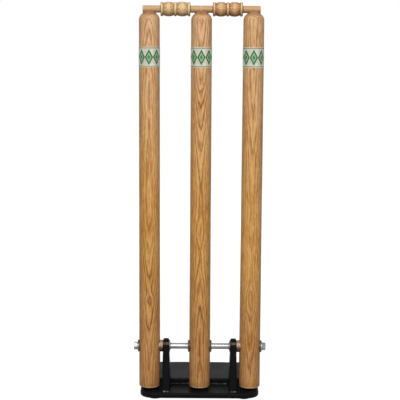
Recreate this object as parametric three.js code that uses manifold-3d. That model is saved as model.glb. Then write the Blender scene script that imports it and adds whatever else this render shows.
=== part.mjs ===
// A set of three cricket stumps with two bails, on a heavy cast base. The stumps hang on one long bolt
// that passes through two cast lugs, and they tip back on it when they are struck. Millimetres, +Z up.
// The origin is on the ground under the middle of the base, +X is to the right and the bowler's side
// faces -Y.
import * as THREE from "three";
import { mergeVertices } from "three/addons/utils/BufferGeometryUtils.js";
import Module from "manifold-3d";

const wasm = await Module();
wasm.setup();

// Fits
const seatGap = 0.3; // between a hollowed piece and the round stump inside it
const faceGap = 0.12; // between flat faces along the bolt
const labelGap = 0.12; // under the printed band
const boltPlay = 0.4; // round the bolt, in radius
const groovePlay = 0.35; // round a bail in its groove, in radius
const overrun = 2; // how far a cut runs past what it cuts
const weld = 0.0001; // points closer than this are one point

// Wicket
const stumpPitch = 95.25; // between the centres of neighbouring stumps
const stumpLength = 711.2;
const stumpHeadDiameter = 38.1;
const stumpFootDiameter = 39.9;
const stumpFootChamfer = 2;
const stumpHang = 4.6; // clear height under the stumps
const shoulderRadius = 13; // round of the turned shoulder below the dome
const domeDiameter = 26.6; // where the dome meets the shoulder
const domeRadius = 15.7; // round of the dome itself

// Bails
const spigotDiameter = 13;
const bailSink = 0.2; // bail axis below the top of the dome
const bailDiameter = 26.4;
const bailEndClearance = 1.5; // from a barrel's end to the stump beside it
const bailMeeting = 0.3; // between the two bails over the middle stump
const bailOverhang = 12; // of the long spigot past the centre of its stump
const ringDiameter = 25.6;
const valleyDiameter = 22.2;
const endRingWidth = 4.2;
const midRingWidth = 4;
const valleyWidth = 2.2;
const ringRound = 0.9;
const spigotRound = 0.6;

// Printed bands
const labelHeight = 36.9;
const labelDrop = 68.2; // from the top of the dome to the top of the band
const labelThickness = 0.35;

// Base casting
const baseWidth = 225.4;
const baseFront = 34; // from the stump centres forward to the front edge
const baseRear = 133; // and back to the rear edge
const ledgeThickness = 10;
const stepHeight = 11.5; // of the rear deck above the front ledge
const stepClearance = 1.2; // from the stumps back to the step that stops them
const baseCorner = 26;
const baseEdgeRound = 2.6;
const deckFrontCorner = 4;

// Lugs
const boltHeightOnStump = 78.5; // from the foot of a stump up to the bolt
const lugRadius = 14.6; // round top, about the bolt
const lugTopThickness = 10;
const lugFootThickness = 15.2;
const lugFrontFoot = 29; // how far the foot reaches in front of the bolt
const lugRearFoot = 44; // and behind it
const lugEdgeRound = 1.5;
const bossDiameter = 24;
const bossThickness = 12;

// Feet
const footDiameter = 28;
const footHeight = 2;
const footSideInset = 28.7; // from the side of the base to the centre of a foot
const footEndInset = 17.5; // from the front or rear edge to the centre of a foot
const footRound = 1;

// Bolt, nut, tubes and washers
const boltDiameter = 8;
const hexAcrossFlats = 13;
const headHeight = 5.3;
const nutHeight = 6.5;
const hexChamfer = 0.7;
const tubeDiameter = 10.8;
const leatherDiameter = 22.6;
const leatherThickness = 2.4;
const packThickness = 5.1; // leather between a lug and the stump outside it
const lugPadThickness = 1.2; // flat leather on the inside of a lug
const leatherSeatDepth = 0.9; // how far a steel washer beds into the leather
const tubeWasherDiameter = 14;
const tubeWasherThickness = 1.5;
const endWasherDiameter = 16;
const endWasherThickness = 1.3;
const springWasherDiameter = 14.8;
const springWasherThickness = 1.3;
const springSlot = 1.4; // the split in the spring washer

// How finely round shapes are divided
const stumpSides = 40;
const bailSides = 24;
const washerSides = 28;
const boreSides = 20;
const cornerSteps = 5;
const shoulderSteps = 6;
const domeSteps = 5;
const bulgeSteps = 6;
const edgeSteps = 2;
const hexSides = 6;

// Heights
const ledgeTop = footHeight + ledgeThickness;
const deckTop = ledgeTop + stepHeight;
const stumpFoot = ledgeTop + stumpHang;
const stumpTop = stumpFoot + stumpLength;
const boltHeight = stumpFoot + boltHeightOnStump;
const bailHeight = stumpTop - bailSink;
const labelTop = stumpTop - labelDrop;

// Radii, measured round corners of the drawn shapes
const headRadius = stumpHeadDiameter / 2;
const footRadius = stumpFootDiameter / 2;
const boltRadius = boltDiameter / 2;
const boreRadius = boltRadius + boltPlay;

// A stump's head: a dome that stands on a quarter-round shoulder
const domeEdge = Math.acos(domeDiameter / 2 / domeRadius);
const domeCentre = stumpTop - domeRadius;
const shoulderCentre = headRadius - shoulderRadius;
const shoulderEnd = Math.acos((domeDiameter / 2 - shoulderCentre) / shoulderRadius);
const shoulderRise = shoulderRadius * Math.sin(shoulderEnd);
const shoulderFoot = domeCentre + domeRadius * Math.sin(domeEdge) - shoulderRise;

// The straight taper of a stump, from its foot to its shoulder
function stumpRadiusAt(z) {
  const share = (z - stumpFoot) / (shoulderFoot - stumpFoot);
  return footRadius + (headRadius - footRadius) * share;
}
const radiusAtBolt = stumpRadiusAt(boltHeight - leatherDiameter / 2);

// Places from front to back
const baseDepth = baseFront + baseRear;
const frontEdge = -baseDepth / 2;
const stumpY = frontEdge + baseFront;
const stepY = stumpY + footRadius + stepClearance;

// Places along the bolt, from the middle outwards
const midSeat = radiusAtBolt + seatGap + leatherThickness - leatherSeatDepth;
const packOuter = stumpPitch - radiusAtBolt - seatGap;
const packInner = packOuter - packThickness;
const bossOuter = packInner - faceGap;
const bossInner = bossOuter - bossThickness;
const lugCentre = (bossOuter + bossInner) / 2;
const padOuter = bossInner - faceGap;
const padInner = padOuter - lugPadThickness;
const midWasherInner = midSeat + faceGap;
const midWasherOuter = midWasherInner + tubeWasherThickness;
const lugWasherOuter = padInner - faceGap;
const lugWasherInner = lugWasherOuter - tubeWasherThickness;
const tubeInner = midWasherOuter + faceGap;
const tubeOuter = lugWasherInner - faceGap;
const outerSeat = stumpPitch + midSeat;
const endWasherInner = outerSeat + faceGap;
const endWasherOuter = endWasherInner + endWasherThickness;
const springInner = endWasherOuter + faceGap;
const springOuter = springInner + springWasherThickness;
const headInner = springOuter + faceGap;
const boltEnd = headInner + headHeight;
const nutInner = endWasherOuter + faceGap;
const nutOuter = nutInner + nutHeight;

// Colours and finishes
function finish(color, roughness, metalness) {
  return new THREE.MeshStandardMaterial({ color, roughness, metalness });
}
const stumpWood = () => finish(0xb08453, 0.45, 0);
const paleWood = () => finish(0xdcb98a, 0.5, 0);
const redWood = () => finish(0xc5935f, 0.5, 0);
const whitePrint = () => finish(0xdcdac8, 0.4, 0);
const blackIron = () => finish(0x1d1d1f, 0.45, 0.3);
const blackRubber = () => finish(0x161616, 0.8, 0);
const zincSteel = () => finish(0xc9cbcc, 0.3, 1);
const brownLeather = () => finish(0x5a3a26, 0.65, 0);

// Solids: a closed geometry becomes a solid that can be joined and cut, and back again.
function solid(geometry) {
  const loose = geometry.index ? geometry.toNonIndexed() : geometry.clone();
  for (const name of Object.keys(loose.attributes)) {
    if (name !== "position") loose.deleteAttribute(name);
  }
  const merged = mergeVertices(loose, weld);
  const corners = merged.index.array;
  const triVerts = [];
  for (let i = 0; i < corners.length; i += 3) {
    const [a, b, c] = corners.slice(i, i + 3);
    if (a !== b && b !== c && c !== a) triVerts.push(a, b, c);
  }
  const vertProperties = merged.attributes.position.array;
  const data = { numProp: 3, vertProperties, triVerts: new Uint32Array(triVerts) };
  return new wasm.Manifold(new wasm.Mesh(data));
}

function surface(body) {
  const { vertProperties, triVerts } = body.getMesh();
  const shape = new THREE.BufferGeometry();
  shape.setAttribute("position", new THREE.BufferAttribute(vertProperties, 3));
  shape.setIndex(new THREE.BufferAttribute(triVerts, 1));
  shape.computeVertexNormals();
  return shape;
}

// A turned piece standing upright, from a list of [radius, height] that starts and ends on the axis or
// comes back to its start.
function turned(profile, sides) {
  const points = profile.map(([radius, height]) => new THREE.Vector2(radius, height));
  return new THREE.LatheGeometry(points, sides).rotateX(Math.PI / 2);
}

// The same lying along X, with its profile measured in X.
function turnedAlongX(profile, sides) {
  return turned(profile, sides).rotateY(Math.PI / 2);
}

// A round bar along X between two places, centred on the bolt and turned about it.
function barAlongX(radius, from, to, sides, turn = 0) {
  const low = Math.min(from, to);
  const high = Math.max(from, to);
  const bar = turnedAlongX([[0, low], [radius, low], [radius, high], [0, high]], sides);
  return solid(bar.rotateX(turn).translate(0, stumpY, boltHeight));
}

// A six-sided bar along X with its corners chamfered towards one end. Unturned, it has a flat on top.
function hexAlongX(from, to, outward, turn) {
  const cornerRadius = hexAcrossFlats / 2 / Math.cos(Math.PI / hexSides);
  const flatRadius = hexAcrossFlats / 2;
  const prism = barAlongX(cornerRadius, from, to, hexSides, turn);
  const inner = outward > 0 ? Math.min(from, to) : Math.max(from, to);
  const outer = outward > 0 ? Math.max(from, to) : Math.min(from, to);
  const shoulder = outer - outward * hexChamfer;
  const profile = [
    [0, inner],
    [cornerRadius, inner],
    [cornerRadius, shoulder],
    [flatRadius, outer],
    [0, outer],
  ];
  if (outward < 0) profile.reverse();
  const round = turnedAlongX(profile, washerSides).translate(0, stumpY, boltHeight);
  return prism.intersect(solid(round));
}

// A ring along X round the bolt.
function ringAlongX(radius, from, to, side) {
  const bar = barAlongX(radius, side * from, side * to, washerSides);
  const bore = barAlongX(boreRadius, side * (from - overrun), side * (to + overrun), boreSides);
  return bar.subtract(bore);
}

// Points round an arc, given its centre, radius and two angles.
function arcPoints(centreX, centreY, radius, from, to, steps) {
  const points = [];
  for (let i = 0; i <= steps; i++) {
    const angle = from + ((to - from) * i) / steps;
    points.push([centreX + radius * Math.cos(angle), centreY + radius * Math.sin(angle)]);
  }
  return points;
}

const wicket = new THREE.Group();

function place(name, body, material) {
  const mesh = new THREE.Mesh(surface(body), material);
  mesh.name = name;
  wicket.add(mesh);
}

// Stumps: turned ash with a rounded shoulder and a domed head. The groove across the head leaves two ears.
function stumpProfile() {
  return [
    [0, stumpFoot],
    [footRadius - stumpFootChamfer, stumpFoot],
    [stumpRadiusAt(stumpFoot + stumpFootChamfer), stumpFoot + stumpFootChamfer],
    ...arcPoints(shoulderCentre, shoulderFoot, shoulderRadius, 0, shoulderEnd, shoulderSteps),
    ...arcPoints(0, domeCentre, domeRadius, domeEdge, Math.PI / 2, domeSteps).slice(1, -1),
    [0, stumpTop],
  ];
}

// The groove for the bails: a round-bottomed slot across the head, open at the top.
function grooveCutter() {
  const radius = spigotDiameter / 2 + groovePlay;
  const top = bailSink + overrun;
  const outline = new THREE.Shape();
  outline.moveTo(-radius, top);
  outline.lineTo(-radius, 0);
  outline.absarc(0, 0, radius, Math.PI, 2 * Math.PI, false);
  outline.lineTo(radius, top);
  outline.closePath();
  const depth = stumpHeadDiameter + 2 * overrun;
  const curveSegments = boreSides / 2;
  const slot = new THREE.ExtrudeGeometry(outline, { depth, bevelEnabled: false, curveSegments });
  return turnIntoX(slot.translate(0, 0, -depth / 2)).translate(0, stumpY, bailHeight);
}

// An outline drawn in Y and Z and extruded in its own third direction is turned to run along X.
function turnIntoX(geometry) {
  const along = new THREE.Vector3(1, 0, 0);
  const back = new THREE.Vector3(0, 1, 0);
  const up = new THREE.Vector3(0, 0, 1);
  return geometry.applyMatrix4(new THREE.Matrix4().makeBasis(back, up, along));
}

function stump(centre) {
  const blank = turned(stumpProfile(), stumpSides).translate(centre, stumpY, 0);
  const groove = grooveCutter().translate(centre, 0, 0);
  const reach = footRadius + overrun;
  const bore = barAlongX(boreRadius, centre - reach, centre + reach, boreSides);
  return solid(blank).subtract(solid(groove)).subtract(bore);
}

// The printed band: a thin sleeve that follows the taper of its stump.
function labelBand(centre) {
  const low = labelTop - labelHeight;
  const profile = [
    [stumpRadiusAt(low) + labelGap, low],
    [stumpRadiusAt(low) + labelGap + labelThickness, low],
    [stumpRadiusAt(labelTop) + labelGap + labelThickness, labelTop],
    [stumpRadiusAt(labelTop) + labelGap, labelTop],
    [stumpRadiusAt(low) + labelGap, low],
  ];
  return solid(turned(profile, stumpSides).translate(centre, stumpY, 0));
}

const stumpPlaces = { left: -stumpPitch, middle: 0, right: stumpPitch };
for (const [name, centre] of Object.entries(stumpPlaces)) {
  place(name + "_stump", stump(centre), stumpWood());
  place(name + "_label", labelBand(centre), whitePrint());
}

// Bails: turned with a barrel of two bulges between three rings, a short spigot and a long one.
function ringOutline(from, to, radius) {
  return [
    [radius - ringRound, from],
    [radius, from + ringRound],
    [radius, to - ringRound],
    [radius - ringRound, to],
  ];
}

function bulgeOutline(from, to) {
  const valley = valleyDiameter / 2;
  const rise = (bailDiameter - valleyDiameter) / 2;
  const points = [];
  for (let i = 0; i <= bulgeSteps; i++) {
    const share = i / bulgeSteps;
    points.push([valley + rise * Math.sin(Math.PI * share), from + (to - from) * share]);
  }
  return points;
}

function bailProfile() {
  const spigot = spigotDiameter / 2;
  const barrelStart = headRadius + bailEndClearance;
  const barrelEnd = stumpPitch - headRadius - bailEndClearance;
  const middle = (barrelStart + barrelEnd) / 2;
  const start = bailMeeting / 2;
  const end = stumpPitch + bailOverhang;
  const ring = ringDiameter / 2;
  const firstBulge = barrelStart + endRingWidth + valleyWidth / 2;
  const firstBulgeEnd = middle - midRingWidth / 2 - valleyWidth / 2;
  return [
    [0, start],
    [spigot - spigotRound, start],
    [spigot, start + spigotRound],
    [spigot, barrelStart],
    ...ringOutline(barrelStart, barrelStart + endRingWidth, ring),
    ...bulgeOutline(firstBulge, firstBulgeEnd),
    ...ringOutline(middle - midRingWidth / 2, middle + midRingWidth / 2, ring),
    ...bulgeOutline(2 * middle - firstBulgeEnd, 2 * middle - firstBulge),
    ...ringOutline(barrelEnd - endRingWidth, barrelEnd, ring),
    [spigot, barrelEnd],
    [spigot, end - spigotRound],
    [spigot - spigotRound, end],
    [0, end],
  ];
}

const rightBail = turnedAlongX(bailProfile(), bailSides);
const leftBail = rightBail.clone().rotateZ(Math.PI);
place("left_bail", solid(leftBail.translate(0, stumpY, bailHeight)), paleWood());
place("right_bail", solid(rightBail.translate(0, stumpY, bailHeight)), redWood());

// Base casting: a front ledge under the stumps, a raised deck behind them, and two lugs for the bolt.
function roundedOutline(left, right, front, rear, frontCorner, rearCorner) {
  const outline = new THREE.Shape();
  outline.moveTo(left + frontCorner, front);
  outline.lineTo(right - frontCorner, front);
  outline.absarc(right - frontCorner, front + frontCorner, frontCorner, -Math.PI / 2, 0, false);
  outline.lineTo(right, rear - rearCorner);
  outline.absarc(right - rearCorner, rear - rearCorner, rearCorner, 0, Math.PI / 2, false);
  outline.lineTo(left + rearCorner, rear);
  outline.absarc(left + rearCorner, rear - rearCorner, rearCorner, Math.PI / 2, Math.PI, false);
  outline.lineTo(left, front + frontCorner);
  outline.absarc(left + frontCorner, front + frontCorner, frontCorner, Math.PI, 1.5 * Math.PI, false);
  return outline;
}

function roundedSlab(outline, low, high, round) {
  const slab = new THREE.ExtrudeGeometry(outline, {
    depth: high - low - 2 * round,
    bevelEnabled: true,
    bevelSize: round,
    bevelThickness: round,
    bevelOffset: -round,
    bevelSegments: edgeSteps,
    curveSegments: cornerSteps,
  });
  return solid(slab.translate(0, 0, low + round));
}

// The angle at which a line from a point outside a circle touches it.
function touchAngle(y, z, radius, turn) {
  return Math.atan2(z, y) + turn * Math.acos(radius / Math.hypot(y, z));
}

// A lug is a flat upright with a round top about the bolt. It thickens towards its foot so that it leaves
// the mould.
function lug(centre) {
  const drop = ledgeTop - ledgeThickness / 2 - boltHeight;
  const frontTouch = touchAngle(-lugFrontFoot, drop, lugRadius, -1);
  const rearTouch = touchAngle(lugRearFoot, drop, lugRadius, 1);
  const outline = new THREE.Shape();
  outline.moveTo(-lugFrontFoot, drop);
  outline.lineTo(lugRearFoot, drop);
  outline.absarc(0, 0, lugRadius, rearTouch, frontTouch + 2 * Math.PI, false);
  outline.closePath();
  const upright = new THREE.ExtrudeGeometry(outline, {
    depth: lugTopThickness - 2 * lugEdgeRound,
    bevelEnabled: true,
    bevelSize: lugEdgeRound,
    bevelThickness: lugEdgeRound,
    bevelOffset: -lugEdgeRound,
    bevelSegments: edgeSteps,
    curveSegments: shoulderSteps,
  });
  upright.translate(0, 0, -lugTopThickness / 2 + lugEdgeRound);
  turnIntoX(upright).translate(0, stumpY, boltHeight);
  const places = upright.attributes.position;
  const lugTop = boltHeight + lugRadius;
  const growth = (lugFootThickness - lugTopThickness) / (lugTop - ledgeTop);
  for (let i = 0; i < places.count; i++) {
    const thickness = lugTopThickness + growth * (lugTop - places.getZ(i));
    places.setX(i, (places.getX(i) * thickness) / lugTopThickness + centre);
  }
  const bossReach = bossThickness / 2;
  const boss = barAlongX(bossDiameter / 2, centre - bossReach, centre + bossReach, washerSides);
  return solid(upright).add(boss);
}

const halfBase = baseWidth / 2;
const rearEdge = frontEdge + baseDepth;
const plateOutline = roundedOutline(-halfBase, halfBase, frontEdge, rearEdge, baseCorner, baseCorner);
const deckOutline = roundedOutline(-halfBase, halfBase, stepY, rearEdge, deckFrontCorner, baseCorner);
const plate = roundedSlab(plateOutline, footHeight, ledgeTop, baseEdgeRound);
const deckRoot = ledgeTop - 2 * baseEdgeRound;
const deck = roundedSlab(deckOutline, deckRoot, deckTop, baseEdgeRound);
const boltBore = barAlongX(boreRadius, -bossOuter - overrun, bossOuter + overrun, boreSides);
const casting = plate.add(deck).add(lug(-lugCentre)).add(lug(lugCentre)).subtract(boltBore);
place("base_casting", casting, blackIron());

// Feet: four round rubber pads under the corners.
const footPlaces = {
  front_left: [-1, -1],
  front_right: [1, -1],
  rear_left: [-1, 1],
  rear_right: [1, 1],
};
for (const [name, [toSide, toRear]] of Object.entries(footPlaces)) {
  const radius = footDiameter / 2;
  const profile = [
    [0, 0],
    [radius - footRound, 0],
    [radius, footRound],
    [radius, footHeight],
    [0, footHeight],
  ];
  const pad = turned(profile, washerSides);
  pad.translate(toSide * (halfBase - footSideInset), toRear * (baseDepth / 2 - footEndInset), 0);
  place(name + "_foot", solid(pad), blackRubber());
}

// Clamp bolt: it runs through everything, with its head on the right, a corner up, and its nut on the
// left, a flat up.
const cornerUp = Math.PI / hexSides;
const flatUp = 0;
const shank = barAlongX(boltRadius, -boltEnd, headInner + overrun, boreSides);
place("clamp_bolt", shank.add(hexAlongX(headInner, boltEnd, 1, cornerUp)), zincSteel());
const nutBore = barAlongX(boreRadius, -nutOuter - overrun, -nutInner + overrun, boreSides);
place("clamp_nut", hexAlongX(-nutInner, -nutOuter, -1, flatUp).subtract(nutBore), zincSteel());

// A leather washer bent round a stump, with a flat bed where a steel washer presses on it. Outward is the
// direction, along X, from the stump's centre to the washer.
function saddleWasher(centre, outward) {
  const reach = radiusAtBolt + seatGap + leatherThickness;
  const past = centre + outward * (reach + overrun);
  const disc = barAlongX(leatherDiameter / 2, centre, past, washerSides);
  const skin = solid(uprightBar(reach, centre));
  const inside = solid(uprightBar(radiusAtBolt + seatGap, centre));
  const bedRadius = Math.max(tubeWasherDiameter, endWasherDiameter) / 2 + seatGap;
  const bed = barAlongX(bedRadius, centre + outward * midSeat, past, washerSides);
  const bore = barAlongX(boreRadius, centre, past, boreSides);
  return disc.intersect(skin).subtract(inside).subtract(bed).subtract(bore);
}

// An upright bar round a stump's centre line, at the height of the bolt.
function uprightBar(radius, centre) {
  const low = boltHeight - leatherDiameter / 2 - overrun;
  const high = boltHeight + leatherDiameter / 2 + overrun;
  const bar = turned([[0, low], [radius, low], [radius, high], [0, high]], stumpSides);
  return bar.translate(centre, stumpY, 0);
}

// A thick leather packing between a lug and the stump outside it: flat on the lug, hollowed for the stump.
function packing(side) {
  const disc = ringAlongX(leatherDiameter / 2, packInner, stumpPitch, side);
  return disc.subtract(solid(uprightBar(radiusAtBolt + seatGap, side * stumpPitch)));
}

// A spring washer is a ring with a narrow split at the top.
function springWasher() {
  const ring = ringAlongX(springWasherDiameter / 2, springInner, springOuter, 1);
  const splitWidth = springWasherThickness + 2 * overrun;
  const split = new THREE.BoxGeometry(splitWidth, springSlot, springWasherDiameter);
  split.translate((springInner + springOuter) / 2, stumpY, boltHeight + springWasherDiameter / 2);
  return ring.subtract(solid(split));
}

for (const [name, side] of Object.entries({ left: -1, right: 1 })) {
  place("middle_saddle_" + name, saddleWasher(0, side), brownLeather());
  place(name + "_packing", packing(side), brownLeather());
  place(name + "_outer_saddle", saddleWasher(side * stumpPitch, side), brownLeather());
  place(name + "_lug_pad", ringAlongX(leatherDiameter / 2, padInner, padOuter, side), brownLeather());
  const washer = tubeWasherDiameter / 2;
  place(name + "_inner_tube_washer", ringAlongX(washer, midWasherInner, midWasherOuter, side), zincSteel());
  place(name + "_spacer_tube", ringAlongX(tubeDiameter / 2, tubeInner, tubeOuter, side), zincSteel());
  place(name + "_lug_tube_washer", ringAlongX(washer, lugWasherInner, lugWasherOuter, side), zincSteel());
  const wide = endWasherDiameter / 2;
  place(name + "_end_washer", ringAlongX(wide, endWasherInner, endWasherOuter, side), zincSteel());
}
place("spring_washer", springWasher(), zincSteel());

export default wicket;
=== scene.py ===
import math

import bmesh
import bpy
from mathutils import Matrix, Vector


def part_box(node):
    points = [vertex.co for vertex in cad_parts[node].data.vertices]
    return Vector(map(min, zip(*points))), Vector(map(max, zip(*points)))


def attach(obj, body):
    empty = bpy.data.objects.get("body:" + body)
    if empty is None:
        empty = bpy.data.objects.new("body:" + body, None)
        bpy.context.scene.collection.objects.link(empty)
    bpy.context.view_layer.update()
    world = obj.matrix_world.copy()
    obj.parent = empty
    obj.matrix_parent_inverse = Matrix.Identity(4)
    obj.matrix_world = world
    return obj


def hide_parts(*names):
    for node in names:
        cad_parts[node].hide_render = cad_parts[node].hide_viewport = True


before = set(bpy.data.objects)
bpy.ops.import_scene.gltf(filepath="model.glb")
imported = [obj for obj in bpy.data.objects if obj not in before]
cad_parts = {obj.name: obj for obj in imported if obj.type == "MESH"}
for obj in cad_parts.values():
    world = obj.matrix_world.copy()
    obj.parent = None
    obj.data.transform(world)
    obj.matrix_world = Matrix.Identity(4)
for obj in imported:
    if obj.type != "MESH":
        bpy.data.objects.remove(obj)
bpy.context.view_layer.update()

# Base casting. One piece of grey iron from a sand mould: a low ledge under the stumps, a raised deck
# behind them whose front step stops them, and two drafted lugs for the bolt. It is shot blasted and
# dipped in satin black enamel, which softens every edge and pools a little in the roots.
mm = 0.001
casting_low, casting_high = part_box("base_casting")
bolt_low, bolt_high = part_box("clamp_bolt")
bolt_y = (bolt_low.y + bolt_high.y) / 2
bolt_z = (bolt_low.z + bolt_high.z) / 2
stump_low, stump_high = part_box("middle_stump")
lug_pad_low, lug_pad_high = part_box("right_lug_pad")
packing_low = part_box("right_packing")[0]

ledge_thickness = 10 * mm
step_height = 11.5 * mm
step_clearance = 1.2 * mm
ledge_top = casting_low.z + ledge_thickness
deck_top = ledge_top + step_height
step_y = stump_high.y + step_clearance
plate_corner = 26 * mm
deck_front_corner = 4 * mm
casting_edge = 2.6 * mm
underside_edge = 1.6 * mm
lug_centre = (lug_pad_high.x + packing_low.x) / 2
lug_radius = casting_high.z - bolt_z
lug_front_foot = 29 * mm
lug_rear_foot = 44 * mm
lug_sunk = 4 * mm
lug_top_thickness = 10.6 * mm
lug_foot_thickness = 15.6 * mm
lug_edge = 1.5 * mm
boss_radius = 12 * mm
boss_thickness = 11.9 * mm
boss_edge = 0.8 * mm
bore_radius = 4.4 * mm
sand_grain = 1.25 * mm
root_reach = 5 * mm
root_depth = 1.5 * mm
skin_passes = 2
root_passes = 8


def loft(shape, rings, closed=False):
    """Skins a row of rings with faces. A ring of one point is a pole, and open ends are capped."""
    skins = [[shape.verts.new(point) for point in ring] for ring in rings]
    pairs = list(zip(skins, skins[1:]))
    if closed:
        pairs.append((skins[-1], skins[0]))
    for lower, upper in pairs:
        for here in range(max(len(lower), len(upper))):
            after = here + 1
            corners = [lower[here % len(lower)], lower[after % len(lower)]]
            corners += [upper[after % len(upper)], upper[here % len(upper)]]
            shape.faces.new(dict.fromkeys(corners))
    if not closed:
        for end in (skins[0], skins[-1]):
            if len(end) > 1:
                shape.faces.new(end)


def rounded_rectangle(left, right, front, rear, front_corner, rear_corner, inset, height):
    """A level ring round a rectangle with round corners, drawn in by an inset."""
    corners = [
        (right - front_corner, front + front_corner, front_corner, -90),
        (right - rear_corner, rear - rear_corner, rear_corner, 0),
        (left + rear_corner, rear - rear_corner, rear_corner, 90),
        (left + front_corner, front + front_corner, front_corner, 180),
    ]
    corner_steps = 14
    ring = []
    for x, y, radius, start in corners:
        for step in range(corner_steps + 1):
            angle = math.radians(start + 90 * step / corner_steps)
            reach = radius - inset
            ring.append((x + reach * math.cos(angle), y + reach * math.sin(angle), height))
    return ring


def quarter_round(radius):
    """Insets and drops round an edge, from the upright side over to the top."""
    steps = 5
    turns = [math.pi / 2 * step / steps for step in range(steps + 1)]
    return [(radius * (1 - math.cos(turn)), radius * (1 - math.sin(turn))) for turn in turns]


def slab(shape, outline, low, high, low_edge):
    """A level plate with round edges. Those on top have the casting's usual round."""
    under = [(inset, low + drop) for inset, drop in reversed(quarter_round(low_edge))]
    over = [(inset, high - drop) for inset, drop in quarter_round(casting_edge)]
    loft(shape, [rounded_rectangle(*outline, inset, height) for inset, height in under + over])


def drawn_in(outline, inset):
    """An outline drawn in by an inset, each corner along the line that halves it."""
    moved = []
    for k, point in enumerate(outline):
        back = (point - outline[k - 1]).normalized()
        onward = (outline[(k + 1) % len(outline)] - point).normalized()
        inward = Vector((-(back.y + onward.y), back.x + onward.x)).normalized()
        share = inward.dot(Vector((-back.y, back.x)))
        moved.append(point + inward * inset / share)
    return moved


def lug_outline():
    """The side view of a lug, anticlockwise from its front foot, about the bolt."""
    drop = ledge_top - lug_sunk - bolt_z
    front = Vector((-lug_front_foot, drop))
    rear = Vector((lug_rear_foot, drop))
    front_touch = math.atan2(front.y, front.x) - math.acos(lug_radius / front.length)
    rear_touch = math.atan2(rear.y, rear.x) + math.acos(lug_radius / rear.length)
    sweep = front_touch + 2 * math.pi - rear_touch
    arc_steps = 28
    turns = [rear_touch + sweep * step / arc_steps for step in range(arc_steps + 1)]
    arc = [Vector((lug_radius * math.cos(turn), lug_radius * math.sin(turn))) for turn in turns]
    return [front, rear] + arc


def lug(shape, centre):
    """A lug thickens towards its foot, so that the pattern draws from the sand."""
    half = lug_top_thickness / 2
    rounds = quarter_round(lug_edge)
    across = [(inset, -half + drop) for inset, drop in reversed(rounds)]
    across += [(inset, half - drop) for inset, drop in rounds]
    growth = (lug_foot_thickness - lug_top_thickness) / (casting_high.z - ledge_top)
    rings = []
    for inset, side in across:
        ring = []
        for point in drawn_in(lug_outline(), inset):
            height = bolt_z + point.y
            thickness = lug_top_thickness + growth * (casting_high.z - height)
            x = centre + side * thickness / lug_top_thickness
            ring.append((x, bolt_y + point.x, height))
        rings.append(ring)
    loft(shape, rings)


def full_circle(sides):
    """Even turns all the way round."""
    return [2 * math.pi * side / sides for side in range(sides)]


def about_bolt(radius, turn, x):
    """A point at a distance and a turn round the bolt's line."""
    return (x, bolt_y + radius * math.cos(turn), bolt_z + radius * math.sin(turn))


def ring_along_x(radius, x, sides=64):
    """A ring of points round the bolt's line."""
    return [about_bolt(radius, turn, x) for turn in full_circle(sides)]


def boss(shape, centre):
    """A low round boss through the lug, where the bolt passes."""
    half = boss_thickness / 2
    rounds = quarter_round(boss_edge)
    near = [ring_along_x(boss_radius - inset, centre - half + drop) for inset, drop in reversed(rounds)]
    far = [ring_along_x(boss_radius - inset, centre + half - drop) for inset, drop in rounds]
    loft(shape, near + far)


def near_root(point):
    """True close to the foot of the step or of a lug, where the mould has a fillet."""
    ground = deck_top if point.y > step_y else ledge_top
    beside_lug = abs(abs(point.x) - lug_centre) < lug_foot_thickness / 2 + root_reach
    beside_step = abs(point.y - step_y) < root_reach and point.z < ledge_top + root_reach
    return (beside_lug and -root_depth < point.z - ground < root_reach) or beside_step


def made_object(name, shape):
    """An object of that name from the shape, with all its faces turned outwards."""
    mesh = bpy.data.meshes.new(name)
    bmesh.ops.recalc_face_normals(shape, faces=shape.faces)
    shape.to_mesh(mesh)
    shape.free()
    piece = bpy.data.objects.new(name, mesh)
    bpy.context.scene.collection.objects.link(piece)
    return piece


def apply_modifiers(piece):
    """Turns the piece's modifiers into its mesh."""
    seen = piece.evaluated_get(bpy.context.evaluated_depsgraph_get())
    shaped = bpy.data.meshes.new_from_object(seen)
    piece.modifiers.clear()
    piece.data = shaped


def cut(piece, tool):
    """Cuts the tool's shape out of the piece, and throws the tool away."""
    boolean = piece.modifiers.new("cut", "BOOLEAN")
    boolean.operation = "DIFFERENCE"
    boolean.solver = "EXACT"
    boolean.object = tool
    apply_modifiers(piece)
    bpy.data.objects.remove(tool)


def fit(piece, body, replaced, finish, sharp=40):
    """Smooths the piece, finishes it, and puts it on its body in place of its plain solid."""
    piece.data.shade_smooth()
    piece.data.set_sharp_from_angle(angle=math.radians(sharp))
    piece.data.materials.clear()
    piece.data.materials.append(finish)
    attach(piece, body)
    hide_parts(replaced)


def wire(tree, socket, value):
    """Links a socket to another, or sets it."""
    if isinstance(value, bpy.types.NodeSocket):
        tree.links.new(value, socket)
    else:
        socket.default_value = value


def put(tree, kind, sockets=None, **options):
    """Places a shader node, with its options, and each socket set or linked."""
    made = tree.nodes.new("ShaderNode" + kind)
    for name, value in options.items():
        setattr(made, name, value)
    for name, value in (sockets or {}).items():
        wire(tree, made.inputs[name], value)
    return made


def calc(tree, operation, *values):
    """One step of arithmetic on masks and numbers."""
    made = put(tree, "Math", operation=operation)
    for socket, value in zip(made.inputs, values):
        wire(tree, socket, value)
    return made.outputs[0]


def times(tree, first, *others):
    """The product of masks and numbers."""
    for other in others:
        first = calc(tree, "MULTIPLY", first, other)
    return first


def spread(tree, value, low, high, new_low, new_high):
    """A value's range carried over to a new one, and held within it."""
    sockets = {"Value": value, "From Min": low, "From Max": high, "To Min": new_low, "To Max": new_high}
    return put(tree, "MapRange", sockets).outputs[0]


def shade_over(tree, value, start, end, first, last):
    """A share that shades from the first to the last as a value in millimetres passes from one place
    to another, both in metres."""
    return spread(tree, value, start / mm, end / mm, first, last)


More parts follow.
